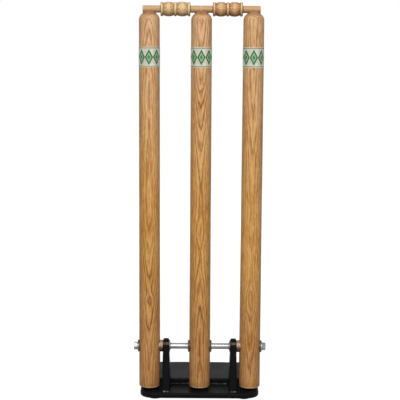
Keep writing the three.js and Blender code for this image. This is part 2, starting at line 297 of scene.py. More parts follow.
def within(tree, value, middle, width):
    """1 where a value in millimetres lies in a band, given in metres by its middle and its width."""
    return calc(tree, "COMPARE", value, middle / mm, width / 2 / mm)


def blend(tree, share, first, second, way="MIX"):
    """The first colour with a share of the second over it."""
    made = put(tree, "Mix", data_type="RGBA", blend_type=way)
    for number, value in ((0, share), (6, first), (7, second)):
        wire(tree, made.inputs[number], value)
    return made.outputs[2]


def ramp(tree, share, stops):
    """A value through a row of (place, grey) stops."""
    made = put(tree, "ValToRGB", {"Fac": share})
    band = made.color_ramp.elements
    while len(band) < len(stops):
        band.new(0.5)
    for element, (place, grey) in zip(band, stops):
        element.position = place
        element.color = (grey, grey, grey, 1)
    return made.outputs["Color"]


def apart(tree, vector):
    """The X, Y and Z of a place or of a direction."""
    return put(tree, "SeparateXYZ", {"Vector": vector}).outputs


def facing(tree):
    """Which way the surface faces, by the piece's own directions."""
    return apart(tree, put(tree, "TexCoord").outputs["Normal"])


def in_millimetres(tree, per_x=1, per_z=1, shift=None):
    """The place on the piece in millimetres, for patterns of real size. A share below 1 along X or Z
    draws the pattern out that way, and one above 1 squeezes it."""
    place = put(tree, "TexCoord").outputs["Object"]
    scale = (per_x / mm, 1 / mm, per_z / mm)
    scaled = put(tree, "VectorMath", {0: place, 1: scale}, operation="MULTIPLY").outputs[0]
    if shift is None:
        return scaled
    moved = put(tree, "CombineXYZ", {"X": shift, "Y": shift, "Z": shift}).outputs[0]
    return put(tree, "VectorMath", {0: scaled, 1: moved}, operation="ADD").outputs[0]


def noise(tree, place, size, detail):
    """Soft random patches of about the given size in millimetres."""
    sockets = {"Vector": place, "Scale": 1 / size, "Detail": detail}
    return put(tree, "TexNoise", sockets).outputs[0]


def paint(red, green, blue):
    """A colour as seen on a screen, 0 to 255, as the light that a shader needs."""
    def light(value):
        share = value / 255
        return share / 12.92 if share <= 0.04045 else ((share + 0.055) / 1.055) ** 2.4
    return (light(red), light(green), light(blue), 1)


def new_finish(name):
    """A new material, with its nodes and its main shader."""
    material = bpy.data.materials.new(name)
    material.use_nodes = True
    tree = material.node_tree
    return material, tree, tree.nodes["Principled BSDF"]


def relief(tree, shader, height, depth, strength=1.0):
    """Fine relief of the given depth in millimetres."""
    bump = put(tree, "Bump", {"Height": height, "Distance": depth * mm, "Strength": strength})
    wire(tree, shader.inputs["Normal"], bump.outputs[0])


def new_group(name, inputs, results):
    """A node group for several finishes, from (name, kind, usual value) of its inputs and (name, kind)
    of its results, with what it is given and what it gives back."""
    group = bpy.data.node_groups.new(name, "ShaderNodeTree")
    for socket_name, kind, usual in inputs:
        socket = group.interface.new_socket(socket_name, in_out="INPUT", socket_type="NodeSocket" + kind)
        socket.default_value = usual
    for socket_name, kind in results:
        group.interface.new_socket(socket_name, in_out="OUTPUT", socket_type="NodeSocket" + kind)
    given = group.nodes.new("NodeGroupInput").outputs
    return group, given, group.nodes.new("NodeGroupOutput").inputs


def edge_wear_group():
    """Handled edges: a mask that is 1 where a sharp outer edge is rubbed, broken up by patches."""
    inputs = (("Reach", "Float", 0.54), ("Patch Size", "Float", 6.0))
    group, given, result = new_group("edge wear", inputs, [("Mask", "Float")])
    surface = put(group, "NewGeometry").outputs
    sharp = calc(group, "SUBTRACT", surface["Pointiness"], given["Reach"])
    edge = spread(group, sharp, 0.0, 0.05, 0.0, 1.0)
    scale = calc(group, "DIVIDE", 1.0, given["Patch Size"])
    patches = put(group, "TexNoise", {"Vector": in_millimetres(group), "Scale": scale, "Detail": 4.0})
    broken = spread(group, patches.outputs[0], 0.42, 0.6, 0.0, 1.0)
    wire(group, result["Mask"], times(group, edge, broken))
    return group


edge_wear = edge_wear_group()


def worn_edges(tree, reach, patch):
    """The edge wear on one finish, from where it begins and its patches' size in millimetres."""
    return put(tree, "Group", {"Reach": reach, "Patch Size": patch}, node_tree=edge_wear).outputs["Mask"]


enamel = paint(7, 7, 8)
pooled_enamel = paint(13, 13, 14)
settled_dust = paint(56, 55, 51)
# Grey for the rubbed edges, and for the painted highlights below.
rubbed_iron_and_highlight = paint(118, 116, 110)
# Where the painted highlights lie: along the foot of the step, at the toes of the lugs and across their
# noses.
glint_rise = 1.6 * mm
glint_height = 3 * mm
step_glint_depth = 2.4 * mm
toe_glint_set = 1.4 * mm
toe_glint_depth = 3.2 * mm
toe_glint_width = 10 * mm
nose_glint_rise = 8 * mm
nose_glint_height = 4 * mm
nose_glint_set = 7 * mm


def black_enamel():
    """Enamel over the sand's texture, dusty where it lies level, and rubbed grey at its edges. Grey
    painted highlights lie at the toes of the lugs, along the foot of the step and across their noses."""
    material, tree, shader = new_finish("black enamel on cast iron")
    place = in_millimetres(tree)
    at = apart(tree, place)
    pools = noise(tree, place, size=38, detail=3)
    peel = noise(tree, place, size=2.6, detail=2)
    cast = noise(tree, place, size=0.9, detail=4)
    colour = blend(tree, spread(tree, pools, 0.35, 0.65, 0, 1), enamel, pooled_enamel)
    level = spread(tree, facing(tree)["Z"], 0.6, 1.0, 0, 0.14)
    colour = blend(tree, times(tree, level, spread(tree, cast, 0.4, 0.7, 0.3, 1)), colour, settled_dust)

    edges = times(tree, worn_edges(tree, reach=0.535, patch=5), 0.35)
    # Painted highlights: grey glints at the toes of the lugs, along the foot of the step and across the
    # noses of the lugs, joined to the rubbed edges.
    on_lug = within(tree, calc(tree, "ABSOLUTE", at["X"]), lug_centre, toe_glint_width)
    at_toe = within(tree, at["Y"], bolt_y - lug_front_foot + toe_glint_set, toe_glint_depth)
    toe_highlight = times(tree, on_lug, at_toe, 0.9)
    step = times(tree, within(tree, at["Y"], step_y, step_glint_depth), 0.4)
    just_above_ledge = within(tree, at["Z"], ledge_top + glint_rise, glint_height)
    flecks = spread(tree, noise(tree, place, size=5, detail=3), 0.48, 0.62, 0, 1)
    painted_glints = times(tree, calc(tree, "MAXIMUM", toe_highlight, step), just_above_ledge, flecks)
    nose_height = within(tree, at["Z"], bolt_z + nose_glint_rise, nose_glint_height)
    in_front = calc(tree, "LESS_THAN", at["Y"], (bolt_y - nose_glint_set) / mm)
    nose_highlight = times(tree, nose_height, in_front, spread(tree, peel, 0.3, 0.7, 0.2, 0.75))
    wear_and_highlights = calc(tree, "MAXIMUM", edges, calc(tree, "MAXIMUM", painted_glints, nose_highlight))
    wire(tree, shader.inputs["Base Color"], blend(tree, wear_and_highlights, colour, rubbed_iron_and_highlight))
    wire(tree, shader.inputs["Roughness"], spread(tree, pools, 0.3, 0.7, 0.44, 0.56))
    shader.inputs["Specular IOR Level"].default_value = 0.05
    relief(tree, shader, calc(tree, "ADD", peel, times(tree, cast, 0.5)), depth=0.12)
    return material


def cast_base():
    """Slabs, lugs and bosses joined into one skin, softened all over, more in the roots, and drilled."""
    shape = bmesh.new()
    sides = (casting_low.x, casting_high.x)
    plate = (*sides, casting_low.y, casting_high.y, plate_corner, plate_corner)
    deck = (*sides, step_y, casting_high.y, deck_front_corner, plate_corner)
    slab(shape, plate, casting_low.z, ledge_top, underside_edge)
    slab(shape, deck, ledge_top - casting_edge, deck_top, underside_edge)
    for side in (-1, 1):
        lug(shape, side * lug_centre)
        boss(shape, side * lug_centre)
    piece = made_object("base_casting_enamelled", shape)
    remesh = piece.modifiers.new("one skin", "REMESH")
    remesh.mode = "VOXEL"
    remesh.voxel_size = sand_grain
    apply_modifiers(piece)
    skin = bmesh.new()
    skin.from_mesh(piece.data)
    roots = [vert for vert in skin.verts if near_root(vert.co)]
    all_ways = {"use_axis_x": True, "use_axis_y": True, "use_axis_z": True}
    for verts, passes in ((skin.verts, skin_passes), (roots, root_passes)):
        for _ in range(passes):
            bmesh.ops.smooth_vert(skin, verts=verts, factor=0.5, **all_ways)
    skin.to_mesh(piece.data)
    skin.free()
    drill = bmesh.new()
    loft(drill, [ring_along_x(bore_radius, casting_low.x), ring_along_x(bore_radius, casting_high.x)])
    cut(piece, made_object("drill", drill))
    return piece


fit(cast_base(), "base", "base_casting", black_enamel(), sharp=60)

# Feet. Four moulded rubber pads under the corners of the casting. Each has a soft edge, a ring groove
# and a dished middle, and is bonded to the iron.
foot_edge = 1.1 * mm
foot_groove_radius = 9.5 * mm
foot_groove_width = 1.2 * mm
foot_groove_depth = 0.7 * mm
foot_groove_ease = 0.2 * mm
dish_radius = 5 * mm
dish_depth = 0.9 * mm
dish_ease = 0.8 * mm
bonded_ease = 0.3 * mm
moulded_black = paint(24, 24, 24)
foot_dust = paint(58, 56, 53)


def about_axis(radius, turn, height):
    """A point at a distance and a turn round an upright axis."""
    return (radius * math.cos(turn), radius * math.sin(turn), height)


def turned(shape, profile, sides=64, closed=False, along="Z", centre=(0, 0, 0)):
    """Turns a row of (radius, place) points round a line through the centre."""
    rings = []
    for radius, place in profile:
        turns = full_circle(sides if radius > 0 else 1)
        ring = [Vector(about_axis(radius, turn, place)) for turn in turns]
        if along == "X":
            ring = [Vector((point.z, point.x, point.y)) for point in ring]
        rings.append([point + Vector(centre) for point in ring])
    loft(shape, rings, closed)


def eased(corners, steps=4):
    """A profile with soft corners: each corner is (radius, place, how much of it is eased away)."""
    points = []
    for k, (radius, place, ease) in enumerate(corners):
        here = Vector((radius, place))
        if ease == 0:
            points.append(here)
            continue
        before = Vector(corners[k - 1][:2])
        after = Vector(corners[(k + 1) % len(corners)][:2])
        start = here + (before - here).normalized() * ease
        end = here + (after - here).normalized() * ease
        for step in range(steps + 1):
            share = step / steps
            points.append(start * (1 - share) ** 2 + here * 2 * share * (1 - share) + end * share**2)
    return points


def foot_rubber():
    """Black rubber with a grey bloom of dust in patches."""
    material, tree, shader = new_finish("moulded foot rubber")
    place = in_millimetres(tree)
    bloom = noise(tree, place, size=7, detail=3)
    fine = noise(tree, place, size=0.5, detail=3)
    colour = blend(tree, spread(tree, bloom, 0.4, 0.7, 0, 0.5), moulded_black, foot_dust)
    wire(tree, shader.inputs["Base Color"], colour)
    wire(tree, shader.inputs["Roughness"], spread(tree, fine, 0.3, 0.7, 0.68, 0.85))
    relief(tree, shader, fine, depth=0.05)
    return material


foot_finish = foot_rubber()
for foot in ("front_left", "front_right", "rear_left", "rear_right"):
    low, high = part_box(foot + "_foot")
    radius = (high.x - low.x) / 2
    height = high.z - low.z
    profile = eased([
        (0, dish_depth, 0),
        (dish_radius, 0, dish_ease),
        (foot_groove_radius - foot_groove_width, 0, foot_groove_ease),
        (foot_groove_radius - foot_groove_width / 2, foot_groove_depth, foot_groove_ease),
        (foot_groove_radius, 0, foot_groove_ease),
        (radius, 0, foot_edge),
        (radius, height, bonded_ease),
        (0, height, 0),
    ])
    shape = bmesh.new()
    middle = ((low.x + high.x) / 2, (low.y + high.y) / 2, low.z)
    turned(shape, profile, centre=middle)
    fit(made_object(foot + "_foot_moulded", shape), "base", foot + "_foot", foot_finish)

# Clamp bolt, nut and washers. Bright zinc-plated steel: a long hexagon-headed bolt through everything,
# its nut on the left, plain washers punched from strip, a split spring washer at the head, and two
# spacer tubes cut from drawn tube. They pinch the leather between them.
thread_pitch = 1.25 * mm
thread_depth = 0.5 * mm
threaded_length = 26 * mm
point_bevel = 0.8 * mm
bolt_radius = 4 * mm
shank_into_head = 1 * mm
bolt_sides = 48
ring_sides = 72
across_flats = 13 * mm
hex_chamfer = math.radians(28)
hex_edge = 0.15 * mm
hex_samples = 96
chamfer_circle = 0.46 * across_flats
corner_up = 0
flat_up = math.pi / 6
bore_chamfer = 0.5 * mm
bore_ease = 0.2 * mm
washer_ease = 0.35 * mm
tube_ease = 0.4 * mm
spring_ease = 0.25 * mm
spring_rise = 0.3 * mm
spring_gap = math.radians(8)
washer_sunk = 0.9 * mm
face_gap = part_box("spring_washer")[0].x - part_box("right_end_washer")[1].x


def hex_ring(spin):
    """The (radius, turn) of points round a hexagon, enough of them for the arcs at its corners."""
    ring = []
    for turn in full_circle(hex_samples):
        lean = (turn + spin + math.pi / 6) % (math.pi / 3) - math.pi / 6
        ring.append((across_flats / 2 / math.cos(lean), turn))
    return ring


def hex_rings(inner, outer, spin, chamfer_inner):
    """The rings of a hexagon between two places, chamfered by a cone at its outer end, or both."""
    outward = 1 if outer > inner else -1
    rings = []
    for end, away, chamfered in ((inner, -outward, chamfer_inner), (outer, outward, True)):
        sides = []
        for radius, turn in hex_ring(spin):
            drop = (radius - chamfer_circle) * math.tan(hex_chamfer) if chamfered else hex_edge
            sides.append(about_bolt(radius, turn, end - away * drop))
        if chamfered:
            face = ring_along_x(chamfer_circle, end, hex_samples)
        else:
            face = [about_bolt(radius - hex_edge, turn, end) for radius, turn in hex_ring(spin)]
        rings += [face, sides] if end == inner else [sides, face]
    return rings


bright_zinc = paint(152, 154, 154)
clouded_zinc = paint(138, 139, 137)
rubbed_zinc = paint(148, 144, 138)
painted_underside_shade = paint(96, 93, 90)


def zinc_plate(name, smoothest, roughest):
    """Zinc with drawing marks along the bolt, rubbed at its edges, and darker underneath with painted
    shade.
    """
    material, tree, shader = new_finish(name)
    drawn = noise(tree, in_millimetres(tree, per_x=0.05), size=0.35, detail=2)
    clouds = noise(tree, in_millimetres(tree), size=9, detail=3)
    colour = blend(tree, spread(tree, clouds, 0.35, 0.65, 0, 1), bright_zinc, clouded_zinc)
    colour = blend(tree, times(tree, worn_edges(tree, reach=0.53, patch=3), 0.5), colour, rubbed_zinc)
    # Painted shade: darker where the surface faces down.
    colour = blend(tree, spread(tree, facing(tree)["Z"], -0.85, 0.15, 0.6, 0), colour, painted_underside_shade)
    wire(tree, shader.inputs["Base Color"], colour)
    shader.inputs["Metallic"].default_value = 1
    rough = spread(tree, clouds, 0.3, 0.7, smoothest, roughest)
    wire(tree, shader.inputs["Roughness"], calc(tree, "ADD", rough, spread(tree, drawn, 0.3, 0.7, 0, 0.04)))
    relief(tree, shader, drawn, depth=0.0008)
    return material


drawn_steel = zinc_plate("bright zinc on drawn tube", smoothest=0.3, roughest=0.36)
forged_steel = zinc_plate("duller zinc on forged and punched steel", smoothest=0.46, roughest=0.54)


def fit_steel(node, shape, finish):
    """Puts a steel shape on the base in place of its solid."""
    fit(made_object(node + "_plated", shape), "base", node, finish, sharp=35)


def bolt_shape():
    """The head, and a shank whose end is bevelled and threaded."""
    head_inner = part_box("spring_washer")[1].x + face_gap
    shape = bmesh.new()
    loft(shape, hex_rings(head_inner, bolt_high.x, corner_up, chamfer_inner=False))
    row_steps = 10
    rows = int(threaded_length / thread_pitch * row_steps)
    rings = []
    for row in range(rows + 1):
        along = row * thread_pitch / row_steps
        ring = []
        for side, turn in enumerate(full_circle(bolt_sides)):
            phase = (row / row_steps - side / bolt_sides) % 1
            depth = thread_depth * (1 - abs(2 * phase - 1)) if row < rows - row_steps else 0
            radius = bolt_radius - max(depth, point_bevel - along)
            ring.append(about_bolt(radius, turn, bolt_low.x + along))
        rings.append(ring)
    rings.append(ring_along_x(bolt_radius, head_inner + shank_into_head, bolt_sides))
    loft(shape, rings)
    return shape


def nut_shape():
    """The nut, with a chamfer at both ends and at both mouths of its bore."""
    low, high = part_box("clamp_nut")
    mouth = bore_radius + bore_chamfer
    bore = [
        ring_along_x(mouth, low.x, hex_samples),
        ring_along_x(bore_radius, low.x + bore_chamfer, hex_samples),
        ring_along_x(bore_radius, high.x - bore_chamfer, hex_samples),
        ring_along_x(mouth, high.x, hex_samples),
    ]
    shape = bmesh.new()
    loft(shape, hex_rings(high.x, low.x, flat_up, chamfer_inner=True) + bore, closed=True)
    return shape


def ring_section(inner, outer, start, end, inner_ease, outer_ease, steps=4):
    """The cross section of a ring between two radii and two ends, with four soft corners."""
    corners = [
        (inner, start, inner_ease),
        (outer, start, outer_ease),
        (outer, end, outer_ease),
        (inner, end, inner_ease),
    ]
    return eased(corners, steps)


def ring_shape(node, ease, sunk=0):
    """A washer or tube: a ring with eased corners, its inner end sunk a little into the leather."""
    low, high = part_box(node)
    start, end = (low.x - sunk, high.x) if low.x > 0 else (low.x, high.x + sunk)
    section = ring_section(bore_radius, (high.z - low.z) / 2, start, end, bore_ease, ease)
    shape = bmesh.new()
    turned(shape, section, ring_sides, closed=True, along="X", centre=(0, bolt_y, bolt_z))
    return shape


def spring_washer_shape():
    """One turn of a square coil, split at the top, its ends apart along the bolt."""
    low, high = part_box("spring_washer")
    thickness = high.x - low.x - spring_rise
    radius = (high.z - low.z) / 2
    section = ring_section(bore_radius, radius, 0, thickness, spring_ease, spring_ease, steps=2)
    rings = []
    for step in range(ring_sides + 1):
        share = step / ring_sides
        turn = math.pi / 2 + spring_gap + 2 * (math.pi - spring_gap) * share
        start = low.x + spring_rise * share
        rings.append([about_bolt(radius, turn, start + x) for radius, x in section])
    shape = bmesh.new()
    loft(shape, rings)
    return shape


fit_steel("clamp_bolt", bolt_shape(), forged_steel)
fit_steel("clamp_nut", nut_shape(), forged_steel)
fit_steel("spring_washer", spring_washer_shape(), forged_steel)
for side in ("left", "right"):
    tube = side + "_spacer_tube"
    fit_steel(tube, ring_shape(tube, tube_ease), drawn_steel)
    washer = side + "_end_washer"
    fit_steel(washer, ring_shape(washer, washer_ease, washer_sunk), forged_steel)
    for washer in (side + "_inner_tube_washer", side + "_lug_tube_washer"):
        fit_steel(washer, ring_shape(washer, washer_ease), forged_steel)

# Leather washers. Stamped from thick oiled belt leather: two flat ones on the lugs, four that are
# pressed into saddles round the stumps, and a double one packed between each lug and its outer stump.
# The clamp squeezes their rims out a little. Their cut edges are paler than their faces, with a painted
# highlight across the front of each rim and painted shade above and below it.
saddle_gap = 0.3 * mm
leather_radius = (lug_pad_high.z - lug_pad_low.z) / 2
leather_thickness = 2.4 * mm
leather_sides = 80
leather_steps = 8
rim_swell = 0.35 * mm
washer_bed = 8.3 * mm
bed_rim = 1 * mm
stump_foot_radius = (stump_high.x - stump_low.x) / 2
stump_head_radius = 19.05 * mm
stump_length = stump_high.z - stump_low.z
stump_pitch = (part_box("right_stump")[0].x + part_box("right_stump")[1].x) / 2
shoulder_drop = 20 * mm


def stump_radius(height):
    """The radius of a stump at a height above its foot: it tapers evenly up to the shoulder."""
    share = min(1, height / (stump_length - shoulder_drop))
    return stump_foot_radius + (stump_head_radius - stump_foot_radius) * share


hollow_radius = stump_radius(bolt_z - stump_low.z - leather_radius) + saddle_gap


def oiled_leather(name, face_tones, rim_shade_and_highlight):
    """Leather from two tones of its faces, by stain, and two of its cut rim: painted shade, and a painted
    highlight where the rim faces forward and a little up.
    """
    material, tree, shader = new_finish(name)
    place = in_millimetres(tree)
    direction = facing(tree)
    pores = put(tree, "TexVoronoi", {"Vector": place, "Scale": 1.6}).outputs["Distance"]
    fibres = noise(tree, in_millimetres(tree, per_x=2.5), size=1.1, detail=4)
    stains = noise(tree, place, size=5, detail=3)
    face = blend(tree, spread(tree, stains, 0.35, 0.65, 0, 1), *face_tones)
    # Painted highlight on the rim where it faces forward and a little up, painted shade above and below it.
    upper_side = spread(tree, direction["Z"], -0.1, 0.55, 0, 1)
    not_on_top = spread(tree, direction["Z"], 0.5, 1.0, 1, 0.35)
    rubbed = calc(tree, "MINIMUM", upper_side, not_on_top)
    rubbed = times(tree, rubbed, spread(tree, fibres, 0.3, 0.7, 0.75, 1))
    on_rim = spread(tree, calc(tree, "ABSOLUTE", direction["X"]), 0.35, 0.7, 1, 0)
    colour = blend(tree, on_rim, face, blend(tree, rubbed, *rim_shade_and_highlight))
    wire(tree, shader.inputs["Base Color"], colour)
    wire(tree, shader.inputs["Roughness"], spread(tree, fibres, 0.3, 0.7, 0.4, 0.58))
    relief(tree, shader, calc(tree, "ADD", pores, fibres), depth=0.1)
    return material


brown_faces = (paint(50, 32, 22), paint(80, 54, 36))
black_faces = (paint(20, 15, 12), paint(32, 25, 20))
# Each pair of rim tones runs from painted shade to a painted highlight.
saddle_rim_shade_and_highlight = (paint(34, 22, 16), paint(118, 86, 62))
packing_rim_shade_and_highlight = (paint(62, 44, 36), paint(214, 174, 148))
pad_rim_shade_and_highlight = (paint(72, 66, 60), paint(220, 212, 202))
dark_leather = oiled_leather("oiled belt leather", brown_faces, saddle_rim_shade_and_highlight)
pale_leather = oiled_leather("belt leather with a raw edge", brown_faces, packing_rim_shade_and_highlight)
black_leather = oiled_leather("belt leather black with oil", black_faces, pad_rim_shade_and_highlight)


def leather_disc(inner_face, outer_face, layers=1):
    """A leather washer in one layer or more, each with its own swollen rim. A face is a rule that gives
    x, the inner one from y off the bolt, and the outer one from y and the distance from the bolt."""
    rims = []
    for layer in range(layers):
        for step in range(leather_steps + 1):
            depth = step / leather_steps
            swell = math.sqrt(max(0, 1 - (2 * depth - 1) ** 2))
            rims.append((leather_radius + rim_swell * (swell - 1), (layer + depth) / layers))
    width = rims[0][0] - bore_radius
    spans = [bore_radius + width * step / leather_steps for step in range(leather_steps)]
    profile = [(span, 0) for span in spans] + rims + [(span, 1) for span in reversed(spans)]
    rings = []
    for reach, share in profile:
        ring = []
        for turn in full_circle(leather_sides):
            y = reach * math.cos(turn)
            x = inner_face(y) * (1 - share) + outer_face(y, reach) * share
            ring.append(about_bolt(reach, turn, x))
        rings.append(ring)
    shape = bmesh.new()
    loft(shape, rings, closed=True)
    return shape


def on_stump(centre, outward, y):
    """The x of leather that lies on a stump's right side, or its left where outward is -1, at y off the
    bolt."""
    return centre + outward * math.sqrt(hollow_radius**2 - y**2)


def saddle(centre, outward, seat):
    """A washer bent round a stump, with a flat bed where the steel washer sits."""
    def back(y, reach):
        bent = math.sqrt((hollow_radius + leather_thickness) ** 2 - y**2)
        pressed = min(bent, seat)
        share = min(1, max(0, (reach - washer_bed) / bed_rim))
        return centre + outward * (pressed + (bent - pressed) * share)

    return leather_disc(lambda y: on_stump(centre, outward, y), back)


def nearest(node):
    """How far out from the middle stump's axis a piece on the bolt's line begins."""
    return min(abs(corner.x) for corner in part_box(node))


def fit_leather(node, body, shape, finish):
    """Puts a leather shape on its body in place of its solid."""
    fit(made_object(node + "_leather", shape), body, node, finish)


for side, sign in (("left", -1), ("right", 1)):
    centre = sign * stump_pitch
    pad_low, pad_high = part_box(side + "_lug_pad")
    pad = leather_disc(lambda y: pad_low.x, lambda y, reach: pad_high.x)
    fit_leather(side + "_lug_pad", "base", pad, black_leather)

    tube_seat = nearest(side + "_inner_tube_washer") - face_gap
    fit_leather("middle_saddle_" + side, "middle_stump", saddle(0, sign, tube_seat), dark_leather)
    end_seat = nearest(side + "_end_washer") - washer_sunk - face_gap - stump_pitch
    outer = saddle(centre, sign, end_seat)
    fit_leather(side + "_outer_saddle", side + "_stump", outer, dark_leather)

    lug_face = sign * nearest(side + "_packing")
    packing = leather_disc(lambda y: lug_face, lambda y, reach: on_stump(centre, -sign, y), layers=2)
    fit_leather(side + "_packing", side + "_stump", packing, pale_leather)

# Stumps. Each is turned from one flat-sawn length of ash, tapering slightly to a rounded shoulder and
# a domed head. A round-bottomed groove is cut across the head for the bails, and the wood is sanded and
# given three coats of satin lacquer. The growth rings show as long arches down its face.
shoulder_radius = 13 * mm
dome_radius = 15.7 * mm
dome_edge_radius = 13.3 * mm
foot_chamfer = 2 * mm
foot_rings = ((0.7 * mm, 0.9 * mm), (1.3 * mm, 0.4 * mm), (foot_chamfer, 0.0))
bail_low, bail_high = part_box("right_bail")
bail_z = (bail_low.z + bail_high.z) / 2
head_groove = 6.85 * mm
stump_sides = 128
drill_sides = 32
drill_overrun = 1 * mm


def wood_grain_group():
    """Growth rings, fibres and pores of a turned piece whose grain runs along its own Z."""
    inputs = (
        ("Rings In Front", "Float", 0.0),
        ("Pith Behind", "Float", 44.0),
        ("Pith Aside", "Float", 0.0),
        ("Front Face", "Float", 64.0),
        ("Ring Width", "Float", 2.0),
        ("Waviness", "Float", 1.0),
        ("Contrast", "Float", 1.0),
        ("Seed", "Float", 0.0),
        ("Pale", "Color", paint(228, 186, 141)),
        ("Tan", "Color", paint(196, 146, 96)),
        ("Dark", "Color", paint(126, 80, 44)),
    )
    results = (("Color", "Color"), ("Roughness", "Float"), ("Height", "Float"))
    group, given, result = new_group("turned wood grain", inputs, results)
    seed = given["Seed"]

    def drawn_out(share, size, detail):
        """Patches that the grain draws out along the piece."""
        return noise(group, in_millimetres(group, per_z=share, shift=seed), size, detail)

    place = apart(group, in_millimetres(group))
    aside = calc(group, "SUBTRACT", place["X"], given["Pith Aside"])
    behind = calc(group, "SUBTRACT", given["Pith Behind"], place["Y"])
    squares = calc(group, "ADD", times(group, aside, aside), times(group, behind, behind))
    from_front = calc(group, "SUBTRACT", calc(group, "SQRT", squares), given["Front Face"])
    peaked = times(group, calc(group, "ABSOLUTE", aside), -0.1)
    from_front = calc(group, "ADD", from_front, peaked)
    bend = times(group, calc(group, "SUBTRACT", drawn_out(share=0.25, size=18, detail=2), 0.5), 3.2)
    ragged = calc(group, "SUBTRACT", drawn_out(share=0.05, size=2.4, detail=3), 0.5)
    wave = times(group, calc(group, "ADD", bend, ragged), given["Waviness"])
    grown = calc(group, "DIVIDE", calc(group, "ADD", from_front, wave), given["Ring Width"])
    ring = calc(group, "ADD", grown, given["Rings In Front"])

    year = calc(group, "ADD", calc(group, "FLOOR", ring), seed)
    luck = put(group, "TexWhiteNoise", {"W": year}, noise_dimensions="1D").outputs[0]
    within = calc(group, "FRACT", ring)
    spring_wood = [(0.0, 0.2), (0.05, 1.0), (0.15, 0.75), (0.32, 0.25), (0.55, 0.0), (1.0, 0.2)]
    summer_wood = [(0.0, 0.9), (0.1, 0.6), (0.45, 0.0), (0.75, 0.35), (1.0, 0.9)]
    porous = times(group, ramp(group, within, spring_wood), spread(group, luck, 0, 1, 0.5, 1))
    dense = ramp(group, within, summer_wood)
    streaks = drawn_out(share=0.08, size=1.6, detail=3)
    fibre = drawn_out(share=0.1, size=0.8, detail=3)
    patches = drawn_out(share=0.3, size=20, detail=2)
    pore = spread(group, drawn_out(share=0.06, size=0.35, detail=1), 0.56, 0.68, 0, 1)
    pore = times(group, pore, spread(group, porous, 0.1, 0.5, 0.15, 1))

    tanned = calc(group, "ADD", spread(group, patches, 0.3, 0.7, -0.3, 0.6), times(group, dense, 0.6))
    tanned = calc(group, "ADD", tanned, spread(group, streaks, 0.3, 0.7, -0.8, 0.8))
    colour = blend(group, tanned, given["Pale"], given["Tan"])
    colour = blend(group, times(group, porous, given["Contrast"]), colour, given["Dark"])
    lighter = spread(group, fibre, 0.25, 0.75, 0.74, 1.24)
    tone = put(group, "CombineXYZ", {"X": lighter, "Y": lighter, "Z": lighter}).outputs[0]
    colour = blend(group, 1.0, colour, tone, "MULTIPLY")
    colour = blend(group, times(group, pore, 0.45), colour, given["Dark"])
    wire(group, result["Color"], colour)
    wire(group, result["Roughness"], spread(group, calc(group, "ADD", porous, pore), 0, 1.5, 0.36, 0.52))
    sunk = calc(group, "ADD", times(group, porous, 0.4), pore)
    wire(group, result["Height"], calc(group, "SUBTRACT", times(group, fibre, 0.3), sunk))
    return group


wood_grain = wood_grain_group()


def grained(tree, shader, colours, numbers, painted):
    """Gives the shader its wood grain, from three colours and the ring numbers, and the grain's colour
    goes through a rule that tints it by place."""
    made = put(tree, "Group", {**colours, **numbers}, node_tree=wood_grain).outputs
    wire(tree, shader.inputs["Base Color"], painted(tree, made["Color"]))
    wire(tree, shader.inputs["Roughness"], made["Roughness"])
    relief(tree, shader, made["Height"], depth=0.05, strength=0.6)
    shader.inputs["Specular IOR Level"].default_value = 0.08


# Each row gives the ash at the foot, the waist and the head: browner, more amber, then paler.
ash_tones = (
    ("Pale", paint(208, 154, 99), paint(226, 173, 103), paint(228, 186, 141)),
    ("Tan", paint(178, 123, 70), paint(194, 137, 71), paint(196, 146, 96)),
    ("Dark", paint(124, 72, 36), paint(124, 72, 28), paint(126, 80, 44)),
)
end_grain_and_shade_tone = paint(112, 62, 24)
bare_ash = paint(226, 190, 146)
dark_head_from = 7 * mm
dark_head_to = 11 * mm
rubbed_foot_from = 1.5 * foot_chamfer
rubbed_foot_to = 1.9 * foot_chamfer


def stump_ends(tree, colour):
    """The domed head is darker from its end grain, which drinks lacquer, and from painted shade under the
    bail. The chamfer round the foot shows pale where the lacquer is rubbed through."""
    height = apart(tree, in_millimetres(tree))["Z"]
    from_top = calc(tree, "SUBTRACT", stump_length / mm, height)
    # Darker end grain, with painted shade under the bail, over the top of the domed head.
    end_grain_and_shade = shade_over(tree, from_top, dark_head_from, dark_head_to, 0.5, 0)
    colour = blend(tree, end_grain_and_shade, colour, end_grain_and_shade_tone)
    rubbed = shade_over(tree, height, rubbed_foot_from, rubbed_foot_to, 0.65, 0)
    return blend(tree, rubbed, colour, bare_ash)


